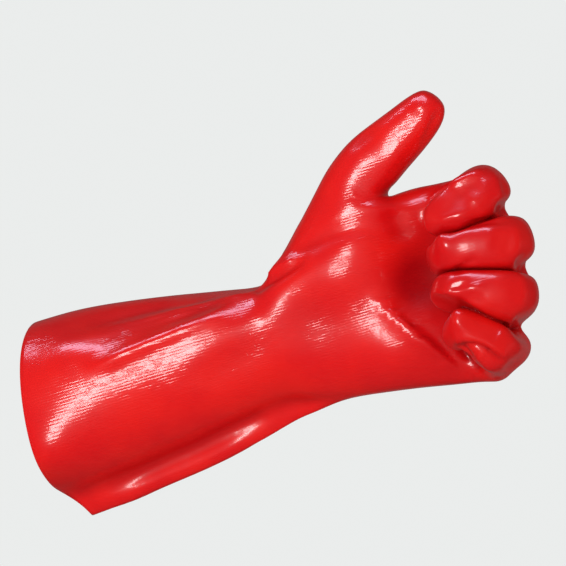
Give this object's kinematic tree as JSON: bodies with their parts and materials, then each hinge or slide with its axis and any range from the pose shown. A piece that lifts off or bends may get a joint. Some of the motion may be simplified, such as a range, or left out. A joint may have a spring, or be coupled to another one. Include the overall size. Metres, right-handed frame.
{
  "type": "chemical-resistant gauntlet glove",
  "caption": "Glossy red coated gauntlet glove for the left hand, a thin hollow shell held as worn: open cuff, flat fold below the sleeve, raised thumb, loosely closed fingers.",
  "frame": {"origin": "middle of the cuff's opening, where the forearm goes in", "axes": "+X from the cuff to the hand, +Y to the back of the hand, +Z to the raised thumb"},
  "size_m": [0.2489, 0.0931, 0.2023],
  "materials": {
    "red_coating": "glossy dipped coating over a fine ribbed knit"
  },
  "bodies": {
    "root": {"glove_shell": "red_coating"}
  },
  "joints": []
}
